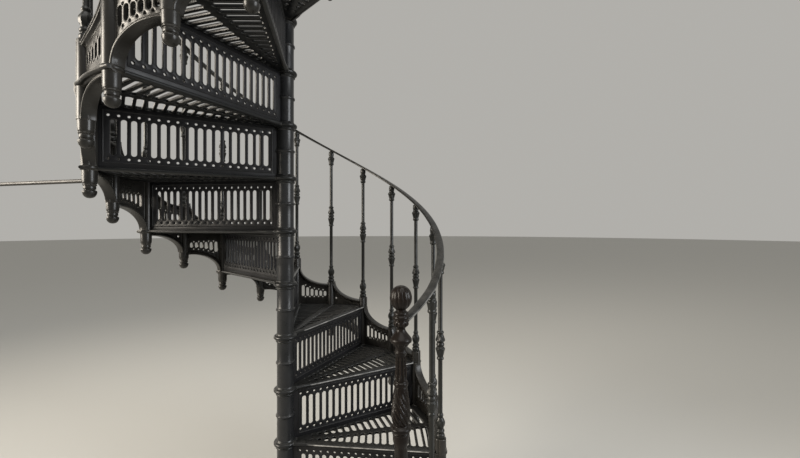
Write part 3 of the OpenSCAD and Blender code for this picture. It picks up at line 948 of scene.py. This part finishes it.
def product(tree, first, second):
    """Two values multiplied."""
    node = tree.nodes.new("ShaderNodeMath")
    node.operation = "MULTIPLY"
    tree.links.new(first, node.inputs[0])
    tree.links.new(second, node.inputs[1])
    return node.outputs[0]


def mix_colour(tree, factor, first, second):
    """The first colour where the factor is 0, the second where it is 1; each is a tuple or a socket."""
    node = tree.nodes.new("ShaderNodeMix")
    node.data_type = "RGBA"
    for socket, colour in ((node.inputs[6], first), (node.inputs[7], second)):
        if isinstance(colour, tuple):
            socket.default_value = (*colour, 1)
        else:
            tree.links.new(colour, socket)
    tree.links.new(factor, node.inputs[0])
    return node.outputs[2]


def bump(tree, height, strength, distance, under):
    """A normal with relief of the given depth in metres, over another normal."""
    node = tree.nodes.new("ShaderNodeBump")
    node.inputs["Strength"].default_value = strength
    node.inputs["Distance"].default_value = distance
    tree.links.new(height, node.inputs["Height"])
    tree.links.new(under, node.inputs["Normal"])
    return node.outputs["Normal"]


def edge_mask(tree, geometry, bevel):
    """0 on flat faces, up to 0.6 on edges, where the rounded normal leaves the true one."""
    dot = tree.nodes.new("ShaderNodeVectorMath")
    dot.operation = "DOT_PRODUCT"
    tree.links.new(bevel.outputs["Normal"], dot.inputs[0])
    tree.links.new(geometry.outputs["Normal"], dot.inputs[1])
    return remap(tree, dot.outputs["Value"], 0.985, 0.82, 0.0, 0.6)


def dust_mask(tree, geometry, most):
    """Specks on what faces up."""
    split = tree.nodes.new("ShaderNodeSeparateXYZ")
    tree.links.new(geometry.outputs["Normal"], split.inputs["Vector"])
    upward = remap(tree, split.outputs["Z"], 0.6, 1.0, 0.0, 1.0)
    return product(tree, upward, remap(tree, noise(tree, 160.0, 3.0), 0.35, 0.8, 0.0, most))


def rub_and_highlight_mask(tree):
    """Patchy rubbed paint and painted highlight where a mesh marks them in its own attribute."""
    rub_and_highlight = tree.nodes.new("ShaderNodeAttribute")
    rub_and_highlight.attribute_name = "rub_and_highlight"
    return product(tree, rub_and_highlight.outputs["Fac"], remap(tree, noise(tree, 30.0), 0.35, 0.65, 0.3, 1.0))


def painted_iron(name, dark, pale, edge_rub_and_highlight, gloss=0.36, ior=1.36, grain=1.0):
    """Satin paint on cast iron: dark and pale patches, dust, pale edges that are rubbed paint and a painted
    highlight along the arrises, pale bare metal that is rubbed paint and a painted highlight where the mesh
    marks it, and orange peel.

    Gloss is the middle of the roughness. Grain scales the specks, the rounding of the edges and the
    peel down for thin parts.
    """
    material, tree, shader = new_material(name)
    geometry = tree.nodes.new("ShaderNodeNewGeometry")
    bevel = tree.nodes.new("ShaderNodeBevel")
    bevel.samples = 4
    bevel.inputs["Radius"].default_value = 0.0007 + 0.0015 * grain
    colour = mix_colour(tree, remap(tree, noise(tree, 9.0), 0.3, 0.7, 0.0, 1.0), dark, pale)
    colour = mix_colour(tree, dust_mask(tree, geometry, 0.5 * grain), colour, DUST)
    # Pale edges: rubbed paint, and a painted highlight where the arrises catch the light
    colour = mix_colour(tree, edge_mask(tree, geometry, bevel), colour, edge_rub_and_highlight)
    # Bare metal where the mesh marks it: rubbed paint, and a painted highlight on the treads' nosings and the
    # rail's lip and top
    colour = mix_colour(tree, rub_and_highlight_mask(tree), colour, BARE_METAL_AND_HIGHLIGHT)
    rough = remap(tree, noise(tree, 26.0), 0.3, 0.7, gloss - 0.07, gloss + 0.06)
    peel = bump(tree, noise(tree, 420.0, 3.0), 0.07 * grain, 0.0004, bevel.outputs["Normal"])
    skin = bump(tree, noise(tree, 38.0, 2.0), 0.025 * grain, 0.0015, peel)
    tree.links.new(colour, shader.inputs["Base Color"])
    tree.links.new(rough, shader.inputs["Roughness"])
    tree.links.new(skin, shader.inputs["Normal"])
    shader.inputs["IOR"].default_value = ior
    return material


# By slot: dark and pale paint, the pale edge colour (rubbed paint and painted highlight), gloss, index of
# refraction and grain
SLOT_MATERIALS = {
    "column iron": painted_iron(
        "column_paint", (0.010, 0.0105, 0.0112), (0.018, 0.0185, 0.0195), (0.080, 0.079, 0.076), 0.31, 1.37),
    "tread iron": painted_iron(
        "tread_paint", (0.005, 0.0055, 0.006), (0.009, 0.0095, 0.0095), (0.20, 0.195, 0.18), 0.35, 1.38),
    "riser iron": painted_iron(
        "riser_paint", (0.009, 0.009, 0.0095), (0.015, 0.015, 0.0163), (0.050, 0.049, 0.047), 0.38, 1.27),
    # The string's paint is paler and warmer than the other iron's: painted warm light from the window on the
    # left
    "string iron": painted_iron(
        "string_paint", (0.011, 0.0104, 0.0094), (0.020, 0.0187, 0.0164), (0.095, 0.087, 0.073), 0.31, 1.38),
    "baluster iron": painted_iron(
        "baluster_paint", (0.0075, 0.008, 0.0073), (0.014, 0.0146, 0.0134), (0.060, 0.060, 0.054),
        0.33, 1.36, 0.2),
    "handrail iron": painted_iron(
        "rail_paint", (0.007, 0.0072, 0.0066), (0.012, 0.012, 0.011), (0.10, 0.096, 0.086), 0.28, 1.34, 0.2),
    "newel iron": painted_iron(
        "newel_paint", (0.0042, 0.0031, 0.0026), (0.0095, 0.0068, 0.0054), (0.080, 0.060, 0.047), 0.30, 1.25),
    "fixing iron": painted_iron(
        "fixing_paint", (0.014, 0.012, 0.010), (0.022, 0.019, 0.0165), (0.070, 0.063, 0.055), 0.42, 1.36),
}


def dress_frame():
    """Gives each CAD node the material of its slot in the record."""
    for row in frame["record"]["subparts"]:
        node = frame["nodes"][row["node"]]
        node.data.materials.clear()
        node.data.materials.append(SLOT_MATERIALS[row["material_slot"]])


# Pieces

def mesh_of(name, shape):
    """A smooth-shaded mesh in metres with clean normals, sharp at its arrises."""
    mesh = bpy.data.meshes.new(name)
    mesh.from_pydata([(x / 1000, y / 1000, z / 1000) for x, y, z in shape[0]], [], shape[1])
    body = bmesh.new()
    body.from_mesh(mesh)
    bmesh.ops.recalc_face_normals(body, faces=body.faces)
    body.to_mesh(mesh)
    body.free()
    mesh.shade_smooth()
    mesh.set_sharp_from_angle(angle=math.radians(38))
    return mesh


def mark_rub_and_highlight(mesh, amount):
    """Notes at each corner how much rubbed paint and painted highlight it shows, from the corner's number and
    place.
    """
    rub_and_highlight = mesh.attributes.new("rub_and_highlight", "FLOAT", "POINT")
    for vertex, mark in zip(mesh.vertices, rub_and_highlight.data):
        mark.value = amount(vertex.index, vertex.co)


def nosing_rub_and_highlight(_, place):
    """Feet rub the upper half of a tread's front edge, more than 100 mm from the column's axis; its pale line
    is also a painted highlight along the nosing.
    """
    return float(place.y < -0.0154 and place.z > -0.0070 and place.x > 0.1)


def rail_rub_and_highlight(corner, _):
    """Hands rub the top of the handrail a little, and its lip more and more towards the newel; the pale lip
    and top are also a painted highlight.
    """
    lip_start, pale_lip_rings = 12, 18
    ring, place = divmod(corner, len(RAIL_SECTION))
    out, up = RAIL_SECTION[place]
    if abs(out) > lip_start:
        return 0.04 + 0.36 * max(0.0, 1.0 - ring / pale_lip_rings)
    return 0.05 if up > -0.3 else 0.0


def moved_mesh(mesh, name, n):
    """A copy of a step's mesh, turned and lifted to its own step."""
    copy = mesh.copy()
    copy.name = name
    copy.transform(Matrix.Translation((0, 0, level(n) / 1000)) @ Matrix.Rotation(front(n), 4, "Z"))
    return copy


def joined(name, mesh, steps):
    """One mesh of a step's mesh at several steps."""
    body = bmesh.new()
    for n in steps:
        copy = moved_mesh(mesh, name, n)
        body.from_mesh(copy)
        bpy.data.meshes.remove(copy)
    whole = bpy.data.meshes.new(name)
    body.to_mesh(whole)
    body.free()
    return whole


def add_piece(name, mesh, nodes, slot):
    """Puts a piece in the place of its CAD nodes, on the one body."""
    mesh.materials.append(SLOT_MATERIALS[slot])
    piece = bpy.data.objects.new(name, mesh)
    bpy.context.scene.collection.objects.link(piece)
    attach(piece, "root")
    if nodes:
        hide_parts(*nodes)


def add_shape(name, shape, nodes, slot):
    """Makes a piece of a shape that is in its place."""
    add_piece(name, mesh_of(name, shape), nodes, slot)


def add_step(name, mesh, n, node, slot):
    """Makes a piece of the mesh of tread n."""
    add_piece(name, moved_mesh(mesh, name, n), (node,), slot)


def make_column():
    """Sleeves, foot and finial."""
    add_shape("column_sleeves", lathe(sleeve_profile(), 56),
              ("pole", "sleeves_lower", "sleeves_upper", "top_sleeve"), "column iron")
    add_shape("foot_casting", foot_casting(), ("foot_flange",), "column iron")
    add_shape("finial_casting", finial_casting(), ("top_finial",), "column iron")


def make_steps():
    """Treads, the landing and the risers."""
    step = mesh_of("tread", tread_casting(TREAD_ANGLE, 2))
    mark_rub_and_highlight(step, nosing_rub_and_highlight)
    for n in range(TREAD_COUNT):
        add_step(f"tread_casting_{n + 1}", step, n, f"tread_{n + 1}", "tread iron")
    landing = mesh_of("landing", tread_casting(LANDING_SWEEP, 3))
    mark_rub_and_highlight(landing, nosing_rub_and_highlight)
    add_step("landing_casting", landing, TREAD_COUNT, "landing", "tread iron")

    riser = mesh_of("riser", riser_casting())
    for name, steps, node in (("riser_castings_lower", range(0, 6), "risers_lower"),
                              ("riser_castings_upper", range(6, 12), "risers_upper"),
                              ("riser_casting_landing", range(12, 13), "landing_riser")):
        whole = joined(name, riser, steps)
        whole.transform(Matrix.Translation((0, 0, -RISE / 1000)))
        add_piece(name, whole, (node,), "riser iron")


def make_strings():
    """The outer string, step by step; the newel stands in the place of its first even post."""
    first = mesh_of("first_string", step_panels())
    add_step("string_casting_1", first, 0, "string_1", "string iron")
    string = mesh_of("string", merged([even_post(), step_panels()]))
    for n in range(1, TREAD_COUNT):
        add_step(f"string_casting_{n + 1}", string, n, f"string_{n + 1}", "string iron")
    last = mesh_of("last_string", landing_string())
    add_step("landing_string_casting", last, TREAD_COUNT, "landing_string", "string iron")


def make_balustrade():
    """Balusters, handrail and newel."""
    for name, first_post, last_post, node in (("baluster_castings_lower", -1, 6, "balusters_lower"),
                                              ("baluster_castings_middle", 7, 14, "balusters_middle"),
                                              ("baluster_castings_upper", 15, 21, "balusters_upper")):
        add_shape(name, merged(baluster_row(first_post, last_post)), (node,), "baluster iron")
    add_shape("baluster_castings_landing", landing_balusters(), ("balusters_landing",), "baluster iron")
    rail = mesh_of("handrail_bar", handrail())
    mark_rub_and_highlight(rail, rail_rub_and_highlight)
    add_piece("handrail_bar", rail, ("handrail_lower", "handrail_upper", "landing_rail"), "handrail iron")
    add_shape("newel_casting", newel(), ("newel",), "newel iron")


def make_bolts():
    """Heads over the holes of the flange, the bracket and the wall plate."""
    add_shape("foot_bolts", foot_bolts(), (), "fixing iron")
    add_shape("bracket_bolts", bracket_bolts(), (), "fixing iron")
    add_shape("stay_screws", stay_screws(), (), "fixing iron")


# Studio

def make_floor():
    """A plain pale floor, wide enough to reach the horizon."""
    material, _, shader = new_material("floor_paint")
    shader.inputs["Base Color"].default_value = (*FLOOR_COLOUR, 1)
    shader.inputs["Roughness"].default_value = 0.85
    mesh = bpy.data.meshes.new("floor")
    body = bmesh.new()
    bmesh.ops.create_circle(body, cap_ends=True, segments=96, radius=40.0)
    body.to_mesh(mesh)
    body.free()
    mesh.materials.append(material)
    floor = bpy.data.objects.new("floor", mesh)
    bpy.context.scene.collection.objects.link(floor)


def make_world():
    """Even light from pale walls all round."""
    world = bpy.data.worlds.new("studio")
    world.use_nodes = True
    background = world.node_tree.nodes["Background"]
    background.inputs["Color"].default_value = (*WALL_COLOUR, 1)
    background.inputs["Strength"].default_value = 1.0
    bpy.context.scene.world = world


def area_light(name, place, aim, size, power, colour, spread):
    """A soft box in metres and watts, with its beam's spread in degrees."""
    data = bpy.data.lights.new(name, "AREA")
    data.shape = "RECTANGLE"
    data.size, data.size_y = size
    data.energy = power
    data.color = colour
    data.spread = math.radians(spread)
    light = bpy.data.objects.new(name, data)
    light.location = place
    light.rotation_euler = (Vector(aim) - Vector(place)).to_track_quat("-Z", "Y").to_euler()
    bpy.context.scene.collection.objects.link(light)


def make_lights():
    """Warm light from the window on the left, cooler light from the door, and the ceiling."""
    area_light("window_left", (-5.2, -2.7, 2.7), (-0.2, -0.1, 1.6), (3.2, 3.4), 150, (1.0, 0.91, 0.78), 80)
    area_light("wall_left", (-5.5, 2.2, 2.6), (-0.4, -0.2, 1.6), (3.0, 3.0), 14, (1.0, 0.90, 0.76), 80)
    area_light("door_right", (3.8, -1.0, 1.9), (0.2, 0.0, 1.2), (1.6, 2.4), 27, (0.94, 0.97, 1.0), 80)
    area_light("ceiling", (1.0, -2.0, 5.6), (0.0, 0.0, 0.6), (4.0, 4.0), 130, (1.0, 0.98, 0.95), 180)


def make_camera():
    """The photo's camera, level, with a small shift."""
    data = bpy.data.cameras.new("camera")
    data.sensor_width = 36.0
    data.sensor_fit = "HORIZONTAL"
    data.lens = CAMERA_LENS
    data.shift_y = CAMERA_SHIFT
    camera = bpy.data.objects.new("camera", data)
    camera.location = CAMERA_PLACE
    camera.rotation_euler = (math.pi / 2, 0, CAMERA_TURN)
    bpy.context.scene.collection.objects.link(camera)
    bpy.context.scene.camera = camera


make_camera()
make_column()
make_steps()
make_strings()
make_balustrade()
make_bolts()
dress_frame()
make_floor()
make_world()
make_lights()
bpy.context.scene.view_settings.view_transform = "Standard"
